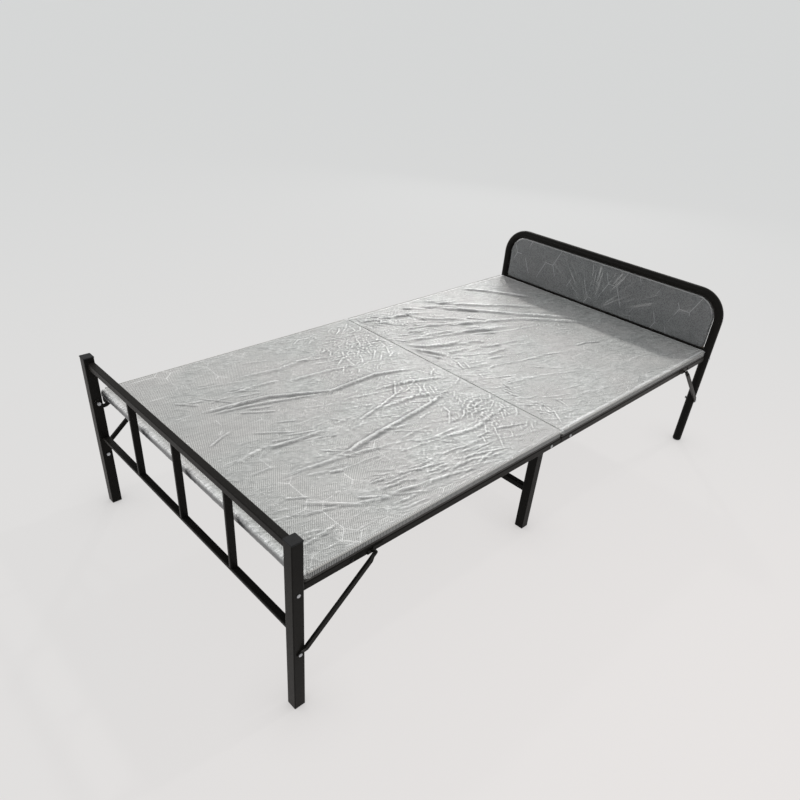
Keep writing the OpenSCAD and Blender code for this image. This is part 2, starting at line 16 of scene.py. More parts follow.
import bpy
import numpy as np
from mathutils import Matrix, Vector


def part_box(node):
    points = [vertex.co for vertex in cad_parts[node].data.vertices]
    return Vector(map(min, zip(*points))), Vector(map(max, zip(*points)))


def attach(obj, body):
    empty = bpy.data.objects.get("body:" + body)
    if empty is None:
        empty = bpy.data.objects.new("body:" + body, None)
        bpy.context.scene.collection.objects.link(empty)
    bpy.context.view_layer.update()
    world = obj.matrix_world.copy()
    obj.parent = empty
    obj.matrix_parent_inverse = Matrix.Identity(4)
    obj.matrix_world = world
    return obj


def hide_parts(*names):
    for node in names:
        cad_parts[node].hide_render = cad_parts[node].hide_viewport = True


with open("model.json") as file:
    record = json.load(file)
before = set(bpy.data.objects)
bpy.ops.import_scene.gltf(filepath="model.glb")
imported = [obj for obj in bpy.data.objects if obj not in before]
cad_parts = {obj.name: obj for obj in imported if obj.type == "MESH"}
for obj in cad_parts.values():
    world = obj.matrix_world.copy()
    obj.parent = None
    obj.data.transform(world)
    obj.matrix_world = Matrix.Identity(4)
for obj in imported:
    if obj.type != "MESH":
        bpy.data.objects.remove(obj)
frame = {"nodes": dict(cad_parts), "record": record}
scene = bpy.context.scene
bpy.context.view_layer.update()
nodes = frame["nodes"]

# %% [markdown]
# ## Sizes that the soft pieces need
#
# Every soft piece is fitted to the solids, so its sizes are read from their boxes. The
# deck board gives the height that a pad lies on, and the pad's own plain solid the space
# that the dressed pad may fill. Both halves are the same, turned about the fold.

# %% Read the sizes from the solids
pad_low, pad_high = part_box("head_pad")
board_low, board_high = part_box("head_board")
BOARD_LOW, BOARD_TOP = float(board_low[2]), float(board_high[2])
PAD_SEAM, PAD_END = float(pad_low[0]), float(pad_high[0])
PAD_HALF, PAD_TOP = float(pad_high[1]), float(pad_high[2])
SIGN = {"foot": -1.0, "head": 1.0}  # the way along X that each half runs from the fold
print(f"pads: {1000 * (PAD_TOP - BOARD_TOP):.1f} mm thick, {2000 * PAD_HALF:.0f} mm wide,")
print(f"  {1000 * (PAD_END - PAD_SEAM):.0f} mm long, {2000 * PAD_SEAM:.1f} mm apart at the fold")

# %% [markdown]
# ## Shader maths as plain expressions
#
# A procedural finish is a small sum: a mask here, a noise there. `Val` wraps the socket
# that holds a value, and its operators add the Math nodes for us, so that a finish reads
# like a formula. They differ only in their names, so `teach` makes them from a table.
# `Nodes.add` makes every other node from its type, its settings and its inputs.

# %% A value in a material, and a maker of nodes


class Val:
    """One number in a material: a socket whose operators add Math nodes."""

    def __init__(self, nodes, socket):
        self.nodes, self.socket = nodes, socket

    def _math(self, operation, *others, **settings):
        values = [self.nodes.plain(v) for v in others]
        made = self.nodes.add("ShaderNodeMath", dict(operation=operation, **settings), *values)
        return Val(self.nodes, made.outputs[0])

    def __neg__(self):
        return self._math("MULTIPLY", self, -1.0)

    def clip(self):
        """The value held between 0 and 1."""
        return self._math("ADD", self, 0.0, use_clamp=True)

    def above(self, edge, soft):
        """0 below edge, 1 above edge + soft, and a straight ramp between."""
        return ((self - edge) / soft).clip()

    def near(self, middle, sharp):
        """1 where the value is middle, falling in a straight line to 0 at 1 / sharp away."""
        return (1 - sharp * abs(self - middle)).clip()


def teach(name, operation, turned=False):
    """Gives Val a method that adds one Math node, its two values in turned order or not."""
    def method(self, *others):
        values = [self, *others]
        return self._math(operation, *(values[::-1] if turned else values))
    setattr(Val, name, method)


for name, operation in (("add", "ADD"), ("sub", "SUBTRACT"), ("mul", "MULTIPLY"),
                        ("truediv", "DIVIDE")):
    teach(f"__{name}__", operation)
    teach(f"__r{name}__", operation, turned=True)
# fold takes a value to and fro between 0 and its limit, as a sheet is pleated
for name, operation in (("__abs__", "ABSOLUTE"), ("sign", "SIGN"), ("sin", "SINE"),
                        ("cos", "COSINE"), ("fold", "PINGPONG"), ("most", "MAXIMUM"),
                        ("least", "MINIMUM")):
    teach(name, operation)


class Nodes:
    """The nodes of a new material, or of a block that already has some, as the world."""

    def __init__(self, name, block=None):
        self.material = block or bpy.data.materials.new(name)
        self.material.use_nodes = True
        self.tree = self.material.node_tree
        self.shader = self.tree.nodes.get("Principled BSDF")
        self.out = self.tree.nodes.get("Material Output")

    def plain(self, value):
        """The socket in a Val, and any other value as it is."""
        return value.socket if isinstance(value, Val) else value

    def feed(self, socket, value):
        """Links a value to a socket, or sets the socket to a plain number or colour."""
        value = self.plain(value)
        if isinstance(value, bpy.types.NodeSocket):
            self.tree.links.new(value, socket)
        elif isinstance(value, tuple):
            socket.default_value = (*value[:3], 1.0)
        else:
            socket.default_value = value

    def add(self, kind, settings=None, *inputs, **named):
        """A node of this type: its settings first, then its inputs by place or by name."""
        node = self.tree.nodes.new(kind)
        for key, value in (settings or {}).items():
            setattr(node, key, value)
        for key, value in enumerate(inputs):
            self.feed(node.inputs[key], value)
        for key, value in named.items():
            self.feed(node.inputs[key.replace("_", " ")], value)
        return node

    def value(self, node, output=0):
        """An output of a node as a Val."""
        return Val(self, node.outputs[output])

    def place(self):
        """The point on the piece, in metres, as a vector socket."""
        return self.add("ShaderNodeTexCoord").outputs["Object"]

    def axes(self):
        """The point on the piece as three values, x, y and z."""
        split = self.add("ShaderNodeSeparateXYZ", None, self.place())
        return [Val(self, split.outputs[i]) for i in range(3)]

    def vector(self, x, y, z):
        """A vector socket made of three values."""
        return self.add("ShaderNodeCombineXYZ", None, x, y, z).outputs[0]

    def noise(self, scale, detail=2.0, rough=0.5, at=None):
        """Smooth noise between 0 and 1, with this many lumps to the metre."""
        node = self.add("ShaderNodeTexNoise", None, Vector=at or self.place(),
                        Scale=scale, Detail=detail, Roughness=rough)
        return self.value(node, "Fac")

    def cells(self, scale):
        """Distances in a pattern of cells, with this many cells to the metre."""
        node = self.add("ShaderNodeTexVoronoi", None, Vector=self.place(), Scale=scale)
        return self.value(node, "Distance")

    def blend(self, share, first, second):
        """A colour between two colours."""
        node = self.add("ShaderNodeMix", {"data_type": "RGBA"})
        # the node has one set of sockets for each kind of data: 6 and 7 are its colours
        for key, value in ((0, share), (6, first), (7, second)):
            self.feed(node.inputs[key], value)
        return node.outputs[2]

    def relief(self, height, depth):
        """A Bump node that raises the surface by height times depth, in metres."""
        return self.add("ShaderNodeBump", None, Distance=depth, Height=height).outputs[0]

    def finish(self, **sockets):
        """Sets or links the shader's sockets by their names, and gives the material."""
        for key, value in sockets.items():
            self.feed(self.shader.inputs[key.replace("_", " ")], value)
        print("finish:", self.material.name)
        return self.material


# %% [markdown]
# ## Camera
#
# The camera stands to the right of the foot end, at a standing person's chest height, and
# looks down along the bed. Its axes are worked out from a heading, a dip and a slight
# roll. Its lens is shifted a little, which moves the bed in the frame without turning it.

# %% Set up the camera


def stand(thing, right, up, back, place):
    """Puts a camera or a lamp at a place, with its three axes, and shows it."""
    matrix = np.eye(4)
    matrix[:3] = np.stack([right, up, back, place], axis=1)
    thing.matrix_world = Matrix(matrix.tolist())
    scene.collection.objects.link(thing)


SENSOR = 36.0
FOCAL = 0.831 * SENSOR
SHIFT = (0.002, 0.0522)
EYE = (-1.5316, -1.3187, 1.4055)
HEADING, DIP, ROLL = 0.770, 0.577, 0.084  # radians

camera_data = bpy.data.cameras.new("camera")
camera_data.sensor_width, camera_data.lens = SENSOR, FOCAL
camera_data.shift_x, camera_data.shift_y = SHIFT
camera_data.clip_end = 50.0
camera = bpy.data.objects.new("camera", camera_data)
level = np.array([math.cos(HEADING), math.sin(HEADING), 0.0])
side = np.array([math.sin(HEADING), -math.cos(HEADING), 0.0])
ahead = math.cos(DIP) * level - math.sin(DIP) * np.array([0.0, 0.0, 1.0])
up = np.cross(side, ahead)
stand(camera, math.cos(ROLL) * side + math.sin(ROLL) * up,
      math.cos(ROLL) * up - math.sin(ROLL) * side, -ahead, EYE)
scene.camera = camera
print(f"camera: {FOCAL:.1f} mm lens at", EYE)

# %% [markdown]
# ## Floor and light
#
# The bed stands on a pale seamless floor. Two soft lamps beyond the headboard, one to the
# left and one nearly straight behind it, share the work of one wide window, so that the
# headboard's shadow narrows towards both its ends. A weak third, the only one that gloss
# mirrors, draws the glints on the film. A broad panel behind the headboard gives the film
# its sheen and the tubes a light edge, and a small one does the same beyond the foot end.
# The world is an even pale grey that fills the shadows.
#
# The floor shows mostly its own pale colour, through Light Path, and for the rest real
# light and shadow. Its tone is a painted pool of light: a warm white beside the foot end,
# going to a cooler and darker grey far away, where the world takes over from it. Close to
# a foot the glow is taken back a little: a painted contact shadow, the soft dark patch
# that a foot leaves on a bright floor.

# %% Make the floor
# the floor's tone is a painted pool of light: palest near the foot end, darker far away
NEAR_PALE, FAR_PALE = (0.800, 0.775, 0.765), (0.668, 0.676, 0.674)
PALEST, PALE_AREA = (-0.3, -1.5), 5.5  # where the floor is palest, and how widely
FLOOR_SIZE = 120
SHOWN = 0.93  # the share of its own colour in what the floor shows
FOOT_REACH, FOOT_SHADE = 0.16, 0.45  # the dark patch at a foot: how wide, how strong
bpy.ops.mesh.primitive_plane_add(size=FLOOR_SIZE, location=(0, 0, 0))
floor = bpy.context.object
floor.name = "floor"


def seen_plainly(n):
    """1 for rays that show a surface: from the camera, in gloss and through clear film."""
    path = n.add("ShaderNodeLightPath")
    seen = n.value(path, "Is Camera Ray").most(n.value(path, "Is Glossy Ray"))
    return seen.most(n.value(path, "Is Transmission Ray"))


paper = Nodes("floor_paper")
x, y, z = paper.axes()
away_x, away_y = x - PALEST[0], y - PALEST[1]
gone = (away_x * away_x + away_y * away_y) / PALE_AREA
tone = paper.blend(1 / (1 + gone), FAR_PALE, NEAR_PALE)
paper.finish(Base_Color=tone, Roughness=0.95, Specular_IOR_Level=0.1)
# painted contact shadow: the floor's glow is dimmed where it is hidden near a foot
near_feet = paper.add("ShaderNodeAmbientOcclusion", {"samples": 8}, Distance=FOOT_REACH)
foot_shadow = 1 - paper.value(near_feet, "AO")
glow = paper.add("ShaderNodeEmission", None, Color=tone, Strength=1 - FOOT_SHADE * foot_shadow)
joined = paper.add("ShaderNodeMixShader", None, seen_plainly(paper) * SHOWN,
                   paper.shader.outputs[0], glow.outputs[0])
paper.tree.links.new(joined.outputs[0], paper.out.inputs["Surface"])
floor.data.materials.append(paper.material)

# %% Light the world
FILL = tuple(0.58 * c for c in (0.98, 1.0, 1.02))  # the light that the world sends in
scene.view_settings.view_transform = "Standard"
world = bpy.data.worlds.new("studio")
scene.world = world
sky = Nodes("studio", world)
back = sky.tree.nodes["Background"]
tint = sky.blend(seen_plainly(sky), FILL, FAR_PALE)
sky.tree.links.new(tint, back.inputs[0])
back.inputs[1].default_value = 1.0


def lamp(name, kind, place, target, power, colour, mirrored=True, **settings):
    """A lamp of this kind at a place, turned to face a target, seen in gloss or not."""
    data = bpy.data.lights.new(name, kind)
    data.energy, data.color = power, colour
    for key, value in settings.items():
        setattr(data, key, value)
    made = bpy.data.objects.new(name, data)
    away = np.array(place, float) - np.array(target, float)
    away /= np.linalg.norm(away)
    across = np.cross((0, 0, 1), away)
    across /= np.linalg.norm(across)
    stand(made, across, np.cross(away, across), away, place)
    made.visible_glossy = mirrored
    print(f"lamp {name}: {kind.lower()}, {power}")


SUN_COLOUR = (1.0, 0.985, 0.96)
SUNS = [
    # name, place, power, seen in gloss
    ("far_sun", (3.0, 3.3, 3.1), 0.88, False),
    ("far_glint", (3.0, 3.3, 2.9), 0.12, True),
    ("near_sun", (3.0, -0.3, 3.1), 1.12, False),
]
PANELS = [
    # name, place, target, power, colour, size
    ("head_panel", (3.6, 2.3, 2.0), (0.4, 0.1, 0.4), 66, (1.0, 0.99, 0.98), 3.0),
    ("foot_panel", (-3.0, 2.4, 1.9), (-0.6, 0.0, 0.4), 20, (1.0, 0.99, 0.97), 1.5),
]
for name, place, power, mirrored in SUNS:
    lamp(name, "SUN", place, (0, 0, 0), power, SUN_COLOUR, mirrored, angle=0.05)
for name, place, target, power, colour, size in PANELS:
    lamp(name, "AREA", place, target, power, colour, shape="SQUARE", size=size)

# %% [markdown]
# ## Hard finishes
#
# The tubes have a satin black powder coat. It is not quite black: where it faces the
# light it goes a brownish grey, because the coat is rough at the scale of a tenth of a
# millimetre, the orange peel that baking leaves. A broad faint mottling and a finer grime
# keep long tubes from looking printed.

# %% Powder coat on the tubes


def powder_coat(name, tone=(0.0092, 0.0086, 0.0078), rough=0.32):
    """Satin black powder coat: orange peel in the relief and faint mottling in the tone."""
    n = Nodes(name)
    peel = n.noise(900, 3.0, 0.6)
    mottle = n.noise(16, 3.0, 0.55)
    grime = n.noise(60, 4.0, 0.6)
    worn = tuple(c * 1.8 for c in tone)
    colour = n.blend((mottle * 0.55 + grime * 0.35 - 0.2).clip(), tone, worn)
    return n.finish(Base_Color=colour, Roughness=rough + 0.16 * (grime - 0.5),
                    Normal=n.relief(peel, 0.00012), Specular_IOR_Level=0.045,
                    Sheen_Weight=0.16, Sheen_Roughness=0.30, Sheen_Tint=(1.0, 0.87, 0.76))


frame_coat = powder_coat("frame_powder_coat")
rivet_coat = powder_coat("rivet_powder_coat", tone=(0.010, 0.010, 0.011), rough=0.38)

# %% [markdown]
# Bolts, nuts and bright rivets are zinc plated: faintly bluish, with fine scratches and a
# soft cloudiness. Their roughness varies more than their colour.

# %% Zinc plate on the fasteners


def zinc_plate(name, tone=(0.60, 0.61, 0.63)):
    """Bright zinc plate: metallic, with clouds in the roughness and fine scratches."""
    n = Nodes(name)
    cloud = n.noise(220, 3.0, 0.6)
    scratch = n.noise(1500, 2.0, 0.7)
    dark = tuple(c * 0.72 for c in tone)
    colour = n.blend(cloud.above(0.42, 0.3), dark, tone)
    return n.finish(Base_Color=colour, Metallic=0.92, Roughness=0.24 + 0.2 * cloud,
                    Normal=n.relief(scratch, 0.00005))


zinc = zinc_plate("zinc_plate")

# %% [markdown]
# The feet, caps and plugs are moulded black plastic. A spark-eroded mould leaves an even
# fine grain, so they are duller than the paint and scatter light from a finer relief.

# %% Moulded plastic


def moulded_plastic(name, tone=(0.0085, 0.0085, 0.0090)):
    """Matte black plastic with the fine grain of its mould."""
    n = Nodes(name)
    grain = n.cells(1400)
    cloud = n.noise(40, 2.0)
    colour = n.blend(cloud, tone, tuple(c * 1.6 for c in tone))
    return n.finish(Base_Color=colour, Roughness=0.5 + 0.15 * cloud,
                    Normal=n.relief(grain, 0.00008), Specular_IOR_Level=0.22)


plastic = moulded_plastic("black_moulded_plastic")

# %% [markdown]
# The deck boards are thin fibreboard coloured near black, and the headboard's board is
# bare. Their edges and undersides show the pressed fibres as a fine, slightly stretched
# speckle.

# %% Pressed board


def pressed_board(name, pale, dark, rough):
    """Fibreboard: speckle of fibres drawn out along the board."""
    n = Nodes(name)
    x, y, z = n.axes()
    long_way = n.vector(x * 0.35, y, z)
    fibres = n.noise(420, 4.0, 0.65, at=long_way)
    patches = n.noise(14, 3.0, 0.5)
    colour = n.blend((fibres * 0.7 + patches * 0.4 - 0.05).clip(), dark, pale)
    return n.finish(Base_Color=colour, Roughness=rough, Normal=n.relief(fibres, 0.00012))


dark_deck_board = pressed_board("dark_board", (0.055, 0.050, 0.045), (0.018, 0.016, 0.015), 0.62)
bare_board = pressed_board("bare_board", (0.42, 0.34, 0.25), (0.25, 0.19, 0.13), 0.8)

# %% Give each solid its finish
finishes = {
    "frame_paint": frame_coat,
    "zinc_plate": zinc,
    "black_plastic": plastic,
    "deck_board": dark_deck_board,
    "fibreboard": bare_board,
}
slot_of = {s["node"]: s["material_slot"] for s in frame["record"]["subparts"]}
for name, solid in nodes.items():
    coat = finishes.get(slot_of[name], frame_coat)
    if name.endswith("rail_rivets"):
        coat = rivet_coat
    solid.data.materials.clear()
    solid.data.materials.append(coat)
print("solids given a finish:", len(nodes))

# %% [markdown]
# ## Surfaces from grids
#
# Every soft piece is a grid of points worked out at once with numpy. `rounded_grid` makes
# a rectangular grid with its corners pushed in to an arc, `slab` closes a grid into a body
# with a rim and a back, and `make_piece` puts the points into a mesh, rides it on its
# body and names its finish. `pad_piece` does so for either half of the bed.

# %% Helpers for grids


def rounded_grid(low, high, half, step, r_low, r_high):
    """A grid of a, b over low..high by -half..half, with its corners moved in to arcs.

    Inside a corner square of side r the offsets p, q from its inner corner, as shares
    of r, become p * sqrt(1 - q * q / 2) and q * sqrt(1 - p * p / 2), which carries a
    square on to a quarter disc.
    """
    a = np.linspace(low, high, int((high - low) / step))
    b = np.linspace(-half, half, int(2 * half / step))
    a, b = np.meshgrid(a, b, indexing="ij")
    for edge, sign, r in ((low, -1, r_low), (high, 1, r_high)):
        for way in (-1, 1):
            p = sign * (a - edge) / r + 1
            q = way * (b - way * half) / r + 1
            corner = (p > 0) & (q > 0)
            p1 = p * np.sqrt(np.maximum(1 - q * q / 2, 0))
            q1 = q * np.sqrt(np.maximum(1 - p * p / 2, 0))
            a = np.where(corner, edge + sign * (p1 - 1) * r, a)
            b = np.where(corner, way * half + way * (q1 - 1) * r, b)
    return a, b


def strip(first, second):
    """Quads between two closed rows of vertex numbers of the same length."""
    a, b = np.append(first, first[0]), np.append(second, second[0])
    return np.stack([a[:-1], a[1:], b[1:], b[:-1]], axis=1)


def sheet_faces(i):
    """Quads of a grid of vertex numbers, facing up where rows run along the first axis."""
    quads = np.stack([i[:-1, :-1], i[1:, :-1], i[1:, 1:], i[:-1, 1:]], axis=-1)
    return quads.reshape(-1, 4)


def loop_of(grid):
    """The values round the edge of a grid."""
    return np.concatenate([grid[0, :-1], grid[:-1, -1], grid[-1, :0:-1], grid[:0:-1, 0]])


def outward(a, b, closed=True):
    """Unit vectors across a path, pointing out of it: the tangent turned a quarter."""
    ta = np.roll(a, -1) - np.roll(a, 1) if closed else np.gradient(a)
    tb = np.roll(b, -1) - np.roll(b, 1) if closed else np.gradient(b)
    size = np.hypot(ta, tb) + 1e-12
    return -tb / size, ta / size


def slab(a, b, top, rim, back=None):
    """A grid a, b at height top, with rim rows round it, closed below where back is given.

    Each rim row is (offset, height): its points are the edge path moved outward by the
    offset. Heights may be arrays along the path. Returns the points and the quads.
    """
    index = np.arange(a.size).reshape(a.shape)
    pa, pb = loop_of(a), loop_of(b)
    na, nb = outward(pa, pb)
    points = [np.stack([a, b, top], axis=-1).reshape(-1, 3)]
    quads = [sheet_faces(index)]
    last, count = loop_of(index), a.size
    for offset, height in rim:
        height = np.broadcast_to(height, pa.shape)
        row = np.stack([pa + offset * na, pb + offset * nb, height], axis=1)
        numbers = np.arange(count, count + len(row))
        points.append(row)
        quads.append(strip(last, numbers))
        last, count = numbers, count + len(row)
    if back is not None:
        points.append(np.stack([a, b, np.full(a.shape, back)], axis=-1).reshape(-1, 3))
        lower = index + count
        quads.append(strip(last, loop_of(lower)))
        quads.append(sheet_faces(lower)[:, ::-1])
    return np.concatenate(points), np.concatenate(quads)


def make_piece(name, points, quads, material, body):
    """A mesh object from points and quads, riding on a body."""
    mesh = bpy.data.meshes.new(name)
    mesh.from_pydata(np.asarray(points, float).tolist(), [], quads.tolist())
    mesh.polygons.foreach_set("use_smooth", np.ones(len(quads), bool))
    mesh.update()
    piece = bpy.data.objects.new(name, mesh)
    scene.collection.objects.link(piece)
    mesh.materials.append(material)
    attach(piece, body)
    print(f"{name}: {len(points)} points, {len(quads)} quads")
    return piece


def pad_piece(end, what, points, quads, material):
    """A piece on one deck half, from points (distance from the fold, y, z)."""
    points = points * np.array([SIGN[end], 1.0, 1.0])
    quads = quads[:, ::-1] if end == "foot" else quads
    return make_piece(f"{end}_{what}", points, quads, material, "deck_" + end)


# %% [markdown]
# ## How thin cover and film wrinkle
#
# A thin skin that is pulled along the bed gathers into long ridges, each with a shallow
# valley on its shaded side. Where the halves have been folded and opened again, the skin
# is crushed, and opens into a net of small sharp creases. Both are heights over the deck
# that any point can ask for, so the pad and the film above it agree.

# %% Long ridges and crushed patches
VALLEY = 0.5  # the depth of the valley beside a ridge, as a share of its rise
FADE = 0.22  # the share of its length over which a ridge fades at each end


def smooth(value, low, high):
    """0 below low, 1 above high, and an S curve between."""
    share = np.clip((value - low) / (high - low), 0, 1)
    return share * share * (3 - 2 * share)


def ridge(x, y, path, width, rise):
    """One long ridge along a path of points, fading at both ends.

    The height is rise * exp(-(d / width)^2), less a valley of the same form beside it,
    where d is the signed distance from the path. A rise below 0 makes a groove.
    """
    path = np.array(path, float)
    legs = np.hypot(*(path[1:] - path[:-1]).T)
    ends = np.concatenate([[0], np.cumsum(legs)])
    near = np.full(x.shape, 1e9)
    signed, along = np.zeros(x.shape), np.zeros(x.shape)
    for (ax, ay), (bx, by), leg, start in zip(path[:-1], path[1:], legs, ends):
        ux, uy = (bx - ax) / leg, (by - ay) / leg
        t = np.clip((x - ax) * ux + (y - ay) * uy, 0, leg)
        dx, dy = x - ax - t * ux, y - ay - t * uy
        d = np.hypot(dx, dy)
        closer = d < near
        near = np.where(closer, d, near)
        signed = np.where(closer, np.copysign(d, ux * dy - uy * dx), signed)
        along = np.where(closer, start + t, along)
    share = along / ends[-1]
    fade = smooth(share, 0.0, FADE) * smooth(1 - share, 0.0, FADE)
    bump = np.exp(-((signed / width) ** 2))
    dip = np.exp(-(((signed + 1.7 * width) / (1.1 * width)) ** 2))
    return rise * fade * (bump - VALLEY * dip)


def waves(x, y, seed, shortest, longest, count=36, stretch=1.0):
    """Smooth noise near -1..1: a sum of cosines in random directions.

    stretch above 1 draws the lumps out along the bed.
    """
    rng = np.random.default_rng(seed)
    length = np.exp(rng.uniform(math.log(shortest), math.log(longest), count))
    turn = rng.uniform(0, math.pi, count)
    phase = rng.uniform(0, 2 * math.pi, count)
    total = np.zeros(x.shape)
    for size, angle, shift in zip(length, turn, phase):
        k = 2 * math.pi / size
        total += np.cos(k * (x * math.cos(angle) / stretch + y * math.sin(angle)) + shift)
    return total / math.sqrt(count)


def crushed(x, y, seed, size):
    """A net of sharp little creases: the places where smooth noise passes through zero."""
    warp = 0.35 * size * waves(x, y, seed + 1, 2 * size, 5 * size, 16)
    net = waves(x + warp, y - warp, seed, size, 2.6 * size, 36)
    fine = waves(x - warp, y + warp, seed + 2, 0.6 * size, 1.3 * size, 30)
    net, fine = (1 - np.minimum(np.abs(noise), 1) for noise in (net, fine))
    return net ** 2 * 0.75 + fine ** 2 * 0.35


def spot(x, y, at, reach):
    """A soft round patch: 1 at its middle, falling as a bell."""
    return np.exp(-(((x - at[0]) / reach[0]) ** 2) - ((y - at[1]) / reach[1]) ** 2)


sample = crushed(np.array([0.1]), np.array([0.2]), 3, 0.03)
print("the net's height at a point:", round(float(sample[0]), 3))

# %% [markdown]
# The long ridges are set down one by one, with their points to the centimetre: most run
# along the bed and lean a little. On the head half the film is pulled towards the
# headboard, so grooves sweep there from the left edge and the fold and draw together.
# Short ridges are scattered between them from fixed seeds.

# %% Lay out the ridges
DEEP, SHALLOW = (0.0120, -0.0052), (0.0095, -0.0036)  # grooves: width, rise
LONG_RIDGES = [
    # path, width, rise
    ([(-0.84, 0.21), (-0.57, 0.17), (-0.40, 0.09), (-0.22, 0.09), (-0.03, 0.03)], 0.0085, 0.0040),
    ([(-0.80, 0.19), (-0.62, 0.15), (-0.46, 0.10), (-0.34, 0.06)], 0.0060, 0.0022),
    ([(-0.46, -0.10), (-0.33, -0.07), (-0.20, -0.03)], 0.0060, 0.0022),
    ([(-0.74, -0.06), (-0.66, -0.07), (-0.56, -0.08)], 0.0065, 0.0022),
    ([(-0.62, -0.23), (-0.53, -0.19), (-0.36, -0.17), (-0.20, -0.15), (-0.06, -0.11)],
     0.0085, 0.0034),
    ([(-0.66, -0.20), (-0.54, -0.20), (-0.41, -0.18), (-0.30, -0.21)], 0.008, 0.0022),
    ([(-0.80, -0.18), (-0.67, -0.20), (-0.55, -0.22), (-0.44, -0.25)], 0.008, 0.0022),
    ([(-0.84, -0.07), (-0.74, -0.05), (-0.62, -0.08)], 0.009, 0.0020),
    ([(-0.38, -0.08), (-0.22, -0.09), (-0.12, -0.12)], 0.009, 0.0026),
    ([(-0.82, -0.28), (-0.69, -0.39), (-0.57, -0.43)], 0.008, 0.0018),
    ([(-0.66, -0.40), (-0.48, -0.43), (-0.34, -0.46)], 0.008, 0.0018),
    ([(-0.62, 0.33), (-0.45, 0.30), (-0.26, 0.31)], 0.009, 0.0016),
    ([(-0.50, 0.22), (-0.33, 0.20), (-0.20, 0.17)], 0.008, 0.0018),
    ([(-0.30, 0.02), (-0.16, -0.01), (-0.03, -0.06)], 0.009, 0.0024),
    ([(-0.34, -0.30), (-0.20, -0.33), (-0.05, -0.30)], 0.009, 0.0024),
    ([(0.82, 0.21), (0.76, 0.29), (0.67, 0.41), (0.60, 0.48)], *DEEP),
    ([(0.77, 0.11), (0.64, 0.22), (0.55, 0.28), (0.45, 0.37), (0.35, 0.48)], *DEEP),
    ([(0.80, -0.05), (0.72, 0.03), (0.61, 0.13), (0.51, 0.23), (0.41, 0.33), (0.28, 0.46)], *DEEP),
    ([(0.24, 0.36), (0.21, 0.38), (0.15, 0.40)], *DEEP),
    ([(0.37, 0.23), (0.31, 0.27), (0.21, 0.34)], *DEEP),
    ([(0.81, -0.11), (0.66, 0.03), (0.57, 0.10), (0.46, 0.15), (0.33, 0.20), (0.23, 0.22)], *DEEP),
    ([(0.52, 0.06), (0.34, 0.12), (0.16, 0.18), (0.06, 0.20), (0.00, 0.23)], *DEEP),
    ([(0.27, 0.17), (0.19, 0.19), (0.11, 0.21)], *SHALLOW),
    ([(0.23, 0.06), (0.18, 0.09), (0.07, 0.13), (0.01, 0.19)], *DEEP),
    ([(0.08, 0.03), (0.06, 0.08), (0.03, 0.12), (0.01, 0.16)], *DEEP),
    ([(0.05, 0.03), (0.03, 0.09), (0.01, 0.13)], *SHALLOW),
    ([(0.32, -0.01), (0.28, 0.00), (0.23, 0.03)], *SHALLOW),
    ([(0.31, -0.05), (0.27, -0.04), (0.20, -0.04)], *SHALLOW),
    ([(0.54, -0.17), (0.60, -0.18), (0.67, -0.21)], 0.0050, 0.0024),
    ([(0.08, -0.08), (0.27, -0.13), (0.47, -0.17)], 0.0070, 0.0013),
    ([(0.06, -0.20), (0.24, -0.24), (0.40, -0.31)], 0.0070, 0.0013),
    ([(0.30, 0.11), (0.45, 0.06), (0.62, 0.02)], 0.0070, 0.0014),
    ([(0.10, 0.30), (0.22, 0.27), (0.34, 0.22)], 0.0070, 0.0020),
]


def short_ridges(seed, count, low, high, lean, length, rise, width, spread, curl):
    """Random short ridges in a rectangle: each has a middle, a lean and a length."""
    rng = np.random.default_rng(seed)
    made = []
    for _ in range(count):
        mx, my = rng.uniform(low[0], high[0]), rng.uniform(low[1], high[1])
        angle = math.radians(rng.normal(lean, spread))
        half = rng.uniform(*length) / 2
        dx, dy = half * math.cos(angle), half * math.sin(angle)
        bow = rng.normal(0, curl) * half
        path = [(mx - dx, my - dy), (mx - bow * math.sin(angle), my + bow), (mx + dx, my + dy)]
        made.append((path, rng.uniform(*width), rng.uniform(*rise)))
    return made


# what the groups of short ridges share: a range of rises, and two ranges of widths
LITTLE, FINE, PLAIN = (0.0005, 0.0012), (0.0030, 0.0050), (0.0035, 0.0055)
SHORT_GROUPS = [
    # seed, count, low corner, high corner, lean, length, rise, width, spread of leans, curl
    (17, 26, (-0.80, -0.46), (-0.52, 0.34), -18, (0.05, 0.14), (0.0013, 0.0016),
     (0.0040, 0.0046), 15, 0.04),
    (5, 70, (-0.88, -0.46), (-0.04, 0.42), -9, (0.05, 0.22), (0.0005, 0.0013),
     (0.0045, 0.0075), 9, 0.05),
    (6, 60, (-0.62, -0.46), (-0.06, -0.05), -14, (0.04, 0.15), (0.0004, 0.0011), FINE, 14, 0.1),
    (7, 60, (0.04, -0.44), (0.44, 0.30), -22, (0.05, 0.18), (0.0004, 0.0011), PLAIN, 9, 0.05),
    (8, 16, (0.50, -0.46), (0.90, 0.44), -32, (0.05, 0.16), (0.0003, 0.0007), PLAIN, 14, 0.1),
    (9, 70, (-0.24, -0.44), (-0.02, 0.0), 48, (0.03, 0.10), LITTLE, FINE, 28, 0.25),
    (10, 60, (-0.26, 0.16), (-0.02, 0.45), 30, (0.03, 0.11), LITTLE, FINE, 32, 0.25),
    (12, 50, (0.02, 0.20), (0.28, 0.46), -38, (0.04, 0.13), (0.0006, 0.0016), FINE, 22, 0.2),
    (15, 22, (0.05, 0.18), (0.46, 0.45), 148, (0.06, 0.16), (-0.0036, -0.0020),
     (0.0085, 0.0110), 9, 0.08),
    (16, 14, (0.04, -0.10), (0.34, 0.16), 158, (0.06, 0.14), (-0.0030, -0.0016),
     (0.0080, 0.0100), 8, 0.08),
    (13, 44, (0.02, -0.46), (0.14, 0.10), -60, (0.03, 0.10), LITTLE, (0.0030, 0.0048), 24, 0.2),
    (14, 60, (-0.60, -0.475), (-0.20, -0.35), -7, (0.05, 0.16), LITTLE, (0.0030, 0.0048), 7, 0.05),
]
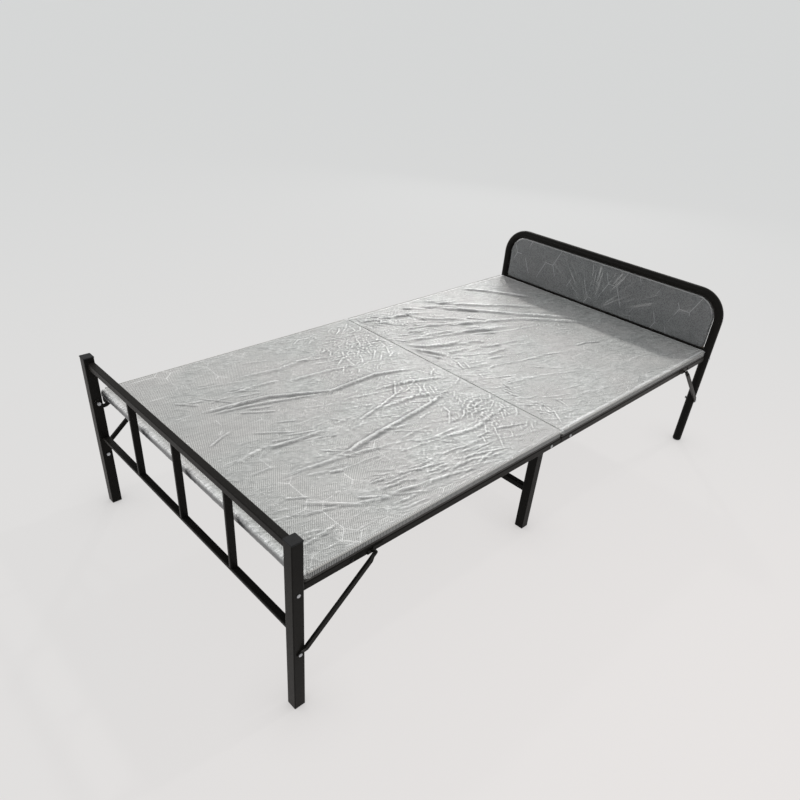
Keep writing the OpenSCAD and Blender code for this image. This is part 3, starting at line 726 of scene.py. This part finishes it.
SHORT_RIDGES = [one for group in SHORT_GROUPS for one in short_ridges(*group)]
PATCHES = [
    # middle, reach, strength
    ((-0.13, 0.30), (0.11, 0.13), 0.7),
    ((-0.12, -0.27), (0.09, 0.17), 0.6),
    ((-0.28, 0.12), (0.15, 0.10), 0.35),
    ((-0.42, -0.33), (0.14, 0.10), 0.25),
    ((-0.26, -0.05), (0.16, 0.16), 0.35),
    ((0.12, 0.40), (0.14, 0.10), 0.6),
    ((0.14, 0.12), (0.12, 0.12), 0.3),
    ((0.58, 0.02), (0.12, 0.10), 0.35),
    ((0.05, -0.42), (0.05, 0.08), 0.5),
    ((0.86, 0.42), (0.06, 0.06), 0.4),
]
SLIM, EASED = 0.80, 0.85  # the shares of the listed widths and rises that are built
SWELL = 0.0007  # the broad unevenness of the sponge
NET, NET_PATCH, NET_SIZE = 0.0004, 0.0018, 0.026  # the net: all over, more in patches


def wrinkles(x, y, share=1.0):
    """Height of the skin over the flat pad at x, y: ridges, crushed patches and swell.

    It is a quarter as high at the pad's edges, and nothing at the fold.
    """
    total = SWELL * waves(x, y, 11, 0.10, 0.34, 30, stretch=1.7)
    for path, width, rise in LONG_RIDGES + SHORT_RIDGES:
        low, high = np.min(path, axis=0) - 0.05, np.max(path, axis=0) + 0.05
        near = (x > low[0]) & (x < high[0]) & (y > low[1]) & (y < high[1])
        if near.any():
            total[near] += ridge(x[near], y[near], path, SLIM * width, EASED * rise)
    mask = np.zeros(x.shape)
    for at, reach, strength in PATCHES:
        mask = np.maximum(mask, strength * spot(x, y, at, reach))
    total += (NET + NET_PATCH * mask) * crushed(x, y, 21, NET_SIZE)
    edge = smooth(PAD_HALF - np.abs(y), 0.004, 0.05) * smooth(PAD_END - np.abs(x), 0.002, 0.05)
    fold = smooth(np.abs(x), 0.001, 0.014)
    return share * total * (0.25 + 0.75 * edge) * fold


print("ridges:", len(LONG_RIDGES), "long,", len(SHORT_RIDGES), "short")

# %% [markdown]
# ## The pads
#
# A pad is a sheet of sponge in a sewn cover. Its top is slightly crowned, because the
# cover is pulled down at the edges, and its shoulders are rounded. At the outer end the
# cover is rolled over the end of the board, so the rim hangs lower there.

# %% Make the two pads
SHOULDER = 0.0055  # radius of the rounded top edge
INSET = SHOULDER + 0.0012  # how far inside the pad's box the top grid ends
SKIN = PAD_TOP - 0.0022  # height of the flat top, under its crown and its ridges
SEAT = BOARD_TOP + 0.0003  # height of the underside
HOOK = BOARD_TOP - BOARD_LOW - 0.0012  # how far the cover rolls down over the board's end


def crown(s, y):
    """Height of the crown: full over most of the pad, and nothing at its edges."""
    return 0.0012 * smooth(PAD_HALF - np.abs(y), 0, 0.12) * smooth(PAD_END - s, 0, 0.1)


def rim_rows(top_edge, foot_edge):
    """Rows that roll over a shoulder, run down a bellied side and turn in underneath."""
    turn = np.linspace(0, math.pi / 2, 7)[1:]
    rows = [(SHOULDER * math.sin(v), top_edge - SHOULDER * (1 - math.cos(v))) for v in turn]
    low = top_edge - SHOULDER
    for share in (0.3, 0.65, 1.0):
        belly = 0.0006 * math.sin(math.pi * share)
        rows.append((SHOULDER + belly, low + (foot_edge - low) * share))
    return rows + [(SHOULDER - 0.0014, foot_edge), (SHOULDER - 0.0016, SEAT)]


pads = {}
s, t = rounded_grid(PAD_SEAM + 0.0030, PAD_END - INSET, PAD_HALF - INSET, 0.006, 0.008, 0.012)
rolled = smooth(loop_of(s), PAD_END - 0.030, PAD_END - 0.012)
facing = outward(loop_of(s), loop_of(t))[0]
snug = 1 - 0.6 * smooth(-facing, 0.3, 0.9)  # the rim is slimmer where it faces the fold
for end, sign in SIGN.items():
    waved = wrinkles(sign * s, t)
    # under the film the sponge takes up half of a ridge and nearly all of a groove
    top = SKIN + crown(s, t) + np.minimum(0.55 * waved, 0.95 * waved)
    rows = rim_rows(loop_of(top), SEAT - HOOK * rolled)
    rows = [(offset * snug, height) for offset, height in rows]
    pads[end] = slab(s, t, top, rows, back=SEAT)
    print(end, "pad top between", round(float(top.min()), 4), "and", round(float(top.max()), 4))

# %% [markdown]
# ## Mesh knit
#
# The cover is a spacer knit: small dimples in two crossed families of slanting rows, with
# a paler yarn between them. One cosine makes each family, and one family is deeper, so
# that the cloth shows fine stripes from one side and hardly any from the other.
#
# Thin pale lines are knitted in: octagons with small diamonds between them on the pads,
# and long hexagons on the headboard. Both repeat evenly, so the point is first folded to
# and fro like a pleated sheet until a quarter of one cell is left. There a line is where
# the distance to the nearest straight edge is nothing. Noise bends and breaks the lines.

# %% Knit for the pads and the headboard
OCTAGON, DIAMOND = 0.067, 0.028  # half an octagon's width, and a diamond's from its middle
SLANT = 0.0226  # how much the rows of octagons lean
HALF_ROOT = 0.707  # the square root of a half
HEXAGON, HEX_TOP = 0.079, 0.082  # half the way from one to the next, and up to a flat top
HEX_SIDE, HEX_OVER, HEX_UP = 0.05328, 0.903, 0.4295  # the leaning side's place and direction


def octagons(a, b):
    """Distance to the lines between octagons 134 mm wide and the diamonds between them.

    In the folded quarter the lines are u = 0, v = 0 and u + v = 28 mm.
    """
    u = (a - SLANT * b + 0.768).fold(OCTAGON)
    v = (b + SLANT * a + 0.346).fold(OCTAGON)
    return abs(u.least(v).least((u + v - DIAMOND) * HALF_ROOT))


def in_hexagon(u, v):
    """Distance from a point inside a hexagon to its flat top or its leaning side."""
    return (HEX_TOP - v).least(HEX_SIDE - HEX_OVER * u - HEX_UP * v)


def long_hexagons(a, b):
    """Distance to the lines of a pattern of upright hexagons, 158 mm apart.

    A hexagon has a short flat top, 40 mm wide, 82 mm above its middle, and sides that
    lean in. The ones between them are the same, half a step over and half a step up.
    """
    u, v = (a + 0.052).fold(HEXAGON), (b - 0.436).fold(HEX_TOP)
    return abs(in_hexagon(u, v).most(in_hexagon(HEXAGON - u, HEX_TOP - v)))


def mesh_knit(name, plane, yarn, hole, motif, pitch, line, wide, rough=0.62, specks=0.0, fleck=260):
    """Grey spacer knit on two of the piece's axes, with a motif of pale lines.

    pitch is the step between rows, wide half a line's width, and specks the strength of
    dark flecks, fleck to the metre. On a pad the drop below its top is added to the
    distance from the fold, so that the rows go on down the rolled end.
    """
    n = Nodes(name)
    axes = dict(zip("xyz", n.axes()))
    a, b = axes[plane[0]], axes[plane[1]]
    if plane == "xy":
        a = a - a.sign() * (axes["z"] - PAD_TOP)
    p, q = a * (2 * math.pi / pitch[0]), b * (2 * math.pi / pitch[1])
    holes = (0.7 * (p - q).cos() + 0.3 * (p + q).cos()).above(-0.35, 0.9)
    bend = 0.014 * n.noise(6.0, 2.0) - 0.007
    gaps = n.noise(11.0, 1.0).above(0.46, 0.06)
    lines = (1 - motif(a + bend, b - bend).above(wide, 0.0010)) * gaps
    broad = n.noise(2.2, 3.0)
    fuzz = n.noise(650, 2.0)
    speck = n.noise(fleck, 3.0, 0.65)
    base = n.blend(holes, yarn, hole)
    lit = tuple(c * 1.35 for c in yarn)
    base = n.blend((0.2 * broad + 0.2 * fuzz - 0.1).clip(), base, lit)
    base = n.blend(specks * speck.above(0.46, 0.16), base, hole)
    colour = n.blend(0.75 * lines, base, line)
    height = lines * 0.5 - holes
    return n.finish(Base_Color=colour, Roughness=rough, Normal=n.relief(height, 0.0005),
                    Sheen_Weight=0.12, Specular_IOR_Level=0.35)


pad_knit = mesh_knit(
    "pad_knit", "xy", yarn=(0.56, 0.56, 0.545), hole=(0.220, 0.220, 0.214), motif=octagons,
    pitch=(0.00576, 0.00828), line=(0.90, 0.90, 0.89), wide=0.0008,
)
panel_knit = mesh_knit(
    "panel_knit", "yz", yarn=(0.235, 0.242, 0.242), hole=(0.060, 0.062, 0.066),
    motif=long_hexagons, pitch=(0.0050, 0.0050), line=(0.46, 0.47, 0.47), wide=0.0006,
    rough=0.55, specks=0.62, fleck=190,
)

for end in SIGN:
    piece = pad_piece(end, "pad_cover", *pads[end], pad_knit)
    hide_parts(end + "_pad")

# %% [markdown]
# ## Side strip and binding
#
# A dark ribbed strip closes each long side of a pad, and a pale binding is sewn over its
# upper edge. At the outer end there is none, because the cover is rolled over the board.
# Both are profiles carried along the side. Their ribs come from a UV map whose first axis
# is the length along the path.

# %% Ribs on the strip and thread on the binding


def ribbed_band(name, dark, pale, pitch, rough):
    """Ribs across the length of a strip, from its UV map in metres."""
    n = Nodes(name)
    uv = n.add("ShaderNodeSeparateXYZ", None, n.add("ShaderNodeTexCoord").outputs["UV"])
    along = n.value(uv)
    rib = (0.5 + 1.3 * (along * (2 * math.pi / pitch)).sin()).clip()
    fuzz = n.noise(900, 2.0)
    colour = n.blend((rib * 0.8 + fuzz * 0.3 - 0.1).clip(), dark, pale)
    return n.finish(Base_Color=colour, Roughness=rough, Normal=n.relief(rib, 0.0006),
                    Sheen_Weight=0.15)


band_rib = ribbed_band("side_strip_rib", (0.012, 0.012, 0.012), (0.46, 0.46, 0.45), 0.0046, 0.7)
binding_rib = ribbed_band("binding_thread", (0.42, 0.41, 0.39), (0.56, 0.55, 0.52), 0.0013, 0.6)


def carry(path_a, path_b, lengths, profile):
    """Carries a profile of (outward offset, height) along a path of known lengths.

    Gives the points, the quads and a UV map whose first axis is the length along the
    path and whose second is the place in the profile, in metres.
    """
    na, nb = outward(path_a, path_b, closed=False)
    offset, height = np.array(profile, float).T
    points = np.stack([
        path_a[:, None] + offset * na[:, None],
        path_b[:, None] + offset * nb[:, None],
        np.broadcast_to(height, (len(path_a), len(offset))),
    ], axis=-1)
    index = np.arange(points.shape[0] * points.shape[1]).reshape(points.shape[:2])
    across = np.concatenate([[0], np.cumsum(np.hypot(np.diff(offset), np.diff(height)))])
    uv = np.stack(np.broadcast_arrays(lengths[:, None], across), axis=-1)
    return points.reshape(-1, 3), sheet_faces(index)[:, ::-1], uv.reshape(-1, 2)


def set_uv(piece, uv):
    """Writes a UV map from one pair of numbers to each point."""
    mesh = piece.data
    corner = np.empty(len(mesh.loops), int)
    mesh.loops.foreach_get("vertex_index", corner)
    layer = mesh.uv_layers.new(name="along")
    layer.data.foreach_set("uv", uv[corner].ravel())


def side_path(side):
    """A path along one long side, its outside on its left, and the lengths along it."""
    run = np.linspace(PAD_SEAM + 0.009, PAD_END - 0.014, 150)
    return run[::side], np.full(len(run), side * (PAD_HALF - INSET)), run - run[0]


def both_sides(profile):
    """The points, quads and UV map of one profile carried along both long sides."""
    points, quads, uv = zip(*[carry(*side_path(side), profile) for side in (-1, 1)])
    quads = np.concatenate([quads[0], quads[1] + len(points[0])])
    return np.concatenate(points), quads, np.concatenate(uv)


STRIP_HIGH, STRIP_LOW = PAD_TOP - 0.0052, BOARD_TOP + 0.0004
CORD_OUT, CORD_Z, CORD_R = SHOULDER - 0.0012, PAD_TOP - 0.0038, 0.0019  # the binding
drop = np.linspace(0, 1, 7)
bulge = SHOULDER + 0.0003 + 0.0007 * np.sin(math.pi * drop)
strip_profile = list(zip(bulge, STRIP_HIGH + (STRIP_LOW - STRIP_HIGH) * drop))
turn = np.linspace(0, 2 * math.pi, 11)
binding_profile = [(CORD_OUT + CORD_R * math.cos(v), CORD_Z - CORD_R * math.sin(v)) for v in turn]
TRIMS = [("side_strips", strip_profile, band_rib), ("bindings", binding_profile, binding_rib)]
for end in SIGN:
    for what, profile, finish in TRIMS:
        points, quads, uv = both_sides(profile)
        set_uv(pad_piece(end, what, points, quads, finish), uv)

# %% [markdown]
# ## Clear film
#
# Each pad is wrapped in a thin clear film. It follows the pad, stands a little proud
# where it wrinkles, and rolls over the outer end of the board and into the fold. It is
# mostly see-through, and shines. The crest of a crease gets a painted highlight, a whitish
# colour, and its foot a painted shade, a dark colour for the dark side of the room that it
# would mirror. So the sharpness of the height at each point is kept as an attribute for
# the finish, above 0 on crests for the painted highlight and below 0 in hollows for the
# painted shade.

# %% The film's finish
ROLL_START = PAD_END - 0.018


def clear_film(name, body=0.26, rough=0.24, laid=1.0):
    """Thin clear film: faint and glossy, painted whiter (a painted highlight) and less clear along
    its creases.

    body is how much of it is seen where it lies flat. laid is 1 for a film on a pad and 0
    for one that has no folds of its own. A fold is where stretched noise passes through
    its middle value, with a painted shade on the side where it is a little above it.
    """
    n = Nodes(name)
    x, y, z = n.axes()
    # where it lies on the pad, where it is tight and clearest, and where it is rolled
    lies = laid * z.above(PAD_TOP - 0.014, 0.008)
    tight = laid * (-x).above(0.42, 0.40)
    rolled = laid * abs(x).above(ROLL_START, 0.006)
    # fine folds along the bed, with a painted shade on one side, and the net between them, which
    # also gets a painted highlight
    swell = n.noise(46, 3.0, 0.55, at=n.vector(0.30 * x + 0.06 * y, y + 0.16 * x, z))
    folds = swell.near(0.5, 8) * lies
    shaded = swell.near(0.58, 9) * lies
    net = n.noise(58, 3.0, 0.55).near(0.5, 8) * lies * (1 - tight)
    # gathers in patches, which lean more: a painted glint on one side and a painted line of shade
    # beside it
    gathered = n.noise(62, 2.0, 0.5, at=n.vector(0.30 * x, y + 0.36 * x, z))
    patch = n.noise(5.0, 2.0, 0.5).above(0.46, 0.10) * lies
    glint = gathered.near(0.50, 11) * patch
    shade_line = gathered.near(0.575, 11) * patch
    # the rolled end gets a painted sheen that makes it whiter, a painted glint along its middle and
    # a painted shade on its lower side
    fallen = abs(x) - ROLL_START + (PAD_TOP - z)
    hatch = n.noise(190, 2.0, 0.5, at=n.vector(0.0, 0.82 * y + 0.57 * z, 0.25 * z - 0.17 * y))
    shine = fallen.near(0.016, 90) * (0.35 + 0.9 * hatch.above(0.42, 0.2)) * rolled
    under_shade = (fallen.near(0.034, 75) * (1.9 - hatch)).clip() * rolled
    # the painted light kept on each point: a painted highlight above 0, a painted shade below 0
    crease = n.value(n.add("ShaderNodeAttribute", {"attribute_name": "crease"}), "Fac")
    crinkle = n.noise(170, 3.0, 0.6)
    flow = n.noise(22, 2.0, 0.5)
    # painted highlight: whiter on crests, glints, the net and the roll; painted shade: dark in
    # hollows, beside folds and beside glints
    painted_highlight = (crease * 0.8 + 0.40 * glint + 0.14 * net).clip().most(shine)
    painted_shade = (-1.25 * crease).clip().most(0.30 * shaded).most(0.60 * shade_line)
    cloudy = laid * n.noise(6.5, 2.0, 0.5, at=n.vector(x, y, 0.5))
    # painted iridescence: the film's colour drifts between pink and green, as light on a thin film
    # does
    painted_iridescence = n.blend(n.noise(5, 2.0, 0.5).above(0.40, 0.2), (0.64, 0.62, 0.61), (0.60, 0.62, 0.60))
    colour = n.blend(painted_shade, n.blend(painted_highlight, painted_iridescence, (0.90, 0.90, 0.89)), (0.14, 0.14, 0.14))
    # the painted shade on the roll's lower side
    colour = n.blend(under_shade, colour, (0.05, 0.05, 0.055))
    cover = body - 0.14 * tight * (1 - rolled) + 0.30 * rolled + 0.45 * (cloudy - 0.5 * laid)
    alpha = cover + 0.50 * painted_highlight + 0.45 * painted_shade + 0.10 * folds + 0.16 * (flow - 0.5) + 0.8 * under_shade
    height = (0.30 * crinkle + 0.70 * folds) * (1 - 0.45 * tight) * (1 - 0.7 * rolled)
    height = height + 0.35 * glint + 0.30 * net + 0.5 * hatch * rolled
    return n.finish(Base_Color=colour, Alpha=alpha.clip(), Roughness=rough + 0.12 * flow,
                    IOR=1.9, Specular_IOR_Level=0.9, Normal=n.relief(height, 0.0017))


film_finish = clear_film("clear_film")
veil_finish = clear_film("tight_film", 0.07, 0.30, laid=0.0)

# %% [markdown]
# The film is one sheet of points: rows run along the bed, down the rounded outer end and
# into the fold.

# %% Lay the film over the pads
LIFT = 0.0007  # how far the film lies above the pad's skin
OVER_R, FOLD_R = 0.0085, 0.0022  # radii over the outer end and into the fold
END_ROWS = 16  # the rows that roll over the outer end and hang from it
EDGE_HIGHLIGHT = {"foot": 0.010, "head": 0.016}  # width of the painted highlight along the film's side edges


def film_line():
    """The film's line along a half, from the seam: (distance from the fold, height)."""
    turn = np.linspace(0, math.pi / 2, 9)
    seam, bend = PAD_SEAM + 0.0002, PAD_END - OVER_R
    down = [(seam, SKIN - 0.009), (seam, SKIN - FOLD_R - 0.002)]
    into_fold = [(seam + FOLD_R * (1 - math.cos(v)), SKIN - FOLD_R * (1 - math.sin(v)))
                 for v in turn[::2]]
    flat = [(v, SKIN) for v in np.linspace(seam + FOLD_R, bend, 270)[1:-1]]
    over = [(bend + OVER_R * math.sin(v), SKIN - OVER_R * (1 - math.cos(v))) for v in turn]
    fall = np.linspace(SKIN - OVER_R - 0.002, BOARD_LOW + 0.0014, 8)
    hang = [(PAD_END + 0.0008, v) for v in fall]
    return np.array(down + into_fold + flat + over + hang)


def film_sheet(end):
    """The film over one pad: a grid of rows along the bed, rolled over at both ends."""
    line = film_line()
    y = np.linspace(-PAD_HALF + 0.0030, PAD_HALF - 0.0030, 300)
    s, y = np.meshgrid(line[:, 0], y, indexing="ij")
    z = np.broadcast_to(line[:, 1][:, None], s.shape).copy()
    rise = wrinkles(SIGN[end] * s, y, 1.35)
    z += np.maximum(rise, 0.55 * rise) + crown(s, y) + LIFT
    z -= 0.0030 * smooth(np.abs(y), PAD_HALF - 0.010, PAD_HALF - 0.0025)
    pucker = waves(y + 1.3 * (z - SKIN), 0.4 * z, 31, 0.010, 0.060, 30)
    s = s + smooth(s, PAD_END - 0.008, PAD_END) * 0.0004 * np.clip(pucker, -0.6, 2.0)
    # the sharpness of the height: how far it is above the mean of four points near by
    around = [np.roll(z, step, axis) for axis in (0, 1) for step in (2, -2)]
    sharp = z - 0.25 * sum(around)
    sharp[:3], sharp[-3:], sharp[:, :3], sharp[:, -3:] = 0, 0, 0, 0
    # sharp crests get a painted highlight, sharp hollows a painted shade
    crease = np.sign(sharp) * np.clip(np.abs(sharp) / 0.0008 - 0.10, 0, 1)
    # the rows over the outer end get an even painted sheen, varied by the pucker
    crease[-END_ROWS:] = np.clip(0.22 + 0.22 * pucker[-END_ROWS:], 0, 1)
    # a painted highlight along both side edges, where the film turns down
    highlight_from = PAD_HALF - EDGE_HIGHLIGHT[end]
    crease += (1 - crease) * smooth(np.abs(y), highlight_from, highlight_from + 0.005)
    points = np.stack([s, y, z], axis=-1).reshape(-1, 3)
    return points, sheet_faces(np.arange(s.size).reshape(s.shape)), crease.ravel()


def mark_painted_light(piece, crease):
    """Keeps the painted light of each point for the film's finish: highlight above 0, shade below.
    """
    mark = piece.data.attributes.new("crease", "FLOAT", "POINT")
    mark.data.foreach_set("value", crease)


for end in SIGN:
    points, quads, crease = film_sheet(end)
    film = pad_piece(end, "film", points, quads, film_finish)
    mark_painted_light(film, crease)
    print(f"{end} film: creased share {crease.mean():.3f}")

# %% [markdown]
# ## The headboard's cloth
#
# The headboard is a thin board with a layer of sponge under a stretched knit. Its front
# is a little crowned, its upper corners follow the bent tube, and the cloth is wrapped
# round the board's edge and a short way on to its back: a slab, with its rim rows.

# %% Cover the headboard
cover_low, cover_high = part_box("headboard_cover")
FRONT, BACK = float(cover_low[0]), float(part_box("headboard")[1][0])
PANEL_LOW, PANEL_HIGH = float(cover_low[2]), float(cover_high[2])
PANEL_HALF = float(cover_high[1])
PANEL_R = 0.076  # the round of its upper corners
EDGE_IN, EDGE_R = 0.0045, 0.0040  # where the face's grid ends, and how its edge rolls back


def panel_grid(inset, step):
    """Plan of the headboard: height and y, with the bent tube's curve at its top corners."""
    return rounded_grid(PANEL_LOW + inset, PANEL_HIGH - inset, PANEL_HALF - inset, step,
                        0.004, PANEL_R - inset)


def roll_back(face_edge, out):
    """Rim rows that roll from the face over its edge and back."""
    turn = np.linspace(0, math.pi / 2, 6)[1:]
    return [(out(v), face_edge - EDGE_R * (1 - math.cos(v))) for v in turn]


def stand_up(points):
    """Turns points (height, y, distance in front) into bed points."""
    return np.stack([-points[:, 2], points[:, 1], points[:, 0]], axis=1)


a, b = panel_grid(EDGE_IN, 0.005)
swell = 0.0010 * smooth(PANEL_HALF - np.abs(b), 0, 0.08) * smooth(a - PANEL_LOW, 0, 0.06)
swell *= smooth(PANEL_HIGH - a, 0, 0.06)
pull = 0.0005 * waves(b, a * 0.5, 41, 0.06, 0.25, 24)
face = -FRONT - 0.0010 + swell + pull * smooth(PANEL_HIGH - a, 0.0, 0.02)
rim = roll_back(loop_of(face), lambda v: EDGE_IN * math.sin(v) + 0.0002 * v)
rim += [(0.0049, -FRONT - 0.008), (0.0049, -BACK + 0.001), (0.0049, -BACK - 0.0003),
        (0.0042, -BACK - 0.0008), (-0.006, -BACK - 0.0008), (-0.012, -BACK - 0.0007)]
points, quads = slab(a, b, face, rim)
cloth = make_piece("headboard_cloth", stand_up(points), quads, panel_knit,
                   "head_frame")
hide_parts("headboard_cover")

# %% [markdown]
# A second clear film is drawn tight over the headboard. It is fixed low in the middle, so
# its fine creases fan out from there. They are waves of the angle about that point, and
# are strongest a little above it. Along them and along the film's top edge the colour is
# painted whitish: painted highlights.

# %% Stretch the film over the headboard
FAN_Y, FAN_Z = 0.03, PANEL_LOW - 0.03  # the point that the creases fan out from
VEIL_OUT = 0.0042  # how far the film's rim stands out from its grid

a, b = panel_grid(0.0035, 0.0036)
angle, reach = np.arctan2(a - FAN_Z, b - FAN_Y), np.hypot(a - FAN_Z, b - FAN_Y)
fan = waves(angle * 0.22, reach * 0.05, 51, 0.007, 0.032, 40)
calm = smooth(a - PANEL_LOW, 0, 0.02) * smooth(PANEL_HIGH - a, 0, 0.02)
calm *= smooth(PANEL_HALF - np.abs(b), 0, 0.03)
calm *= 0.20 + 0.80 * spot(b, a, (-0.02, PANEL_LOW + 0.10), (0.22, 0.10))
streak = np.clip(1.3 * fan - 0.3, -0.2, 2.5) * calm
shell = -FRONT + 0.0010 + 0.00045 * streak
rim = roll_back(loop_of(shell), lambda v: VEIL_OUT * math.sin(v))
rim.append((VEIL_OUT, -FRONT - 0.0042))
points, quads = slab(a, b, shell, rim)
veil = make_piece("headboard_film", stand_up(points), quads, veil_finish,
                  "head_frame")
pa, pb = loop_of(a), loop_of(b)
# painted highlights on the headboard film: along the top edge of its rim, and along the fanned
# creases
top_edge_highlight = smooth(np.tile(pa, len(rim)), PANEL_HIGH - 0.10, PANEL_HIGH - 0.03)
streak_highlight = np.clip(0.75 * streak.ravel() - 0.16, 0, 1)
mark_painted_light(veil, np.concatenate([streak_highlight, 0.8 * top_edge_highlight]))
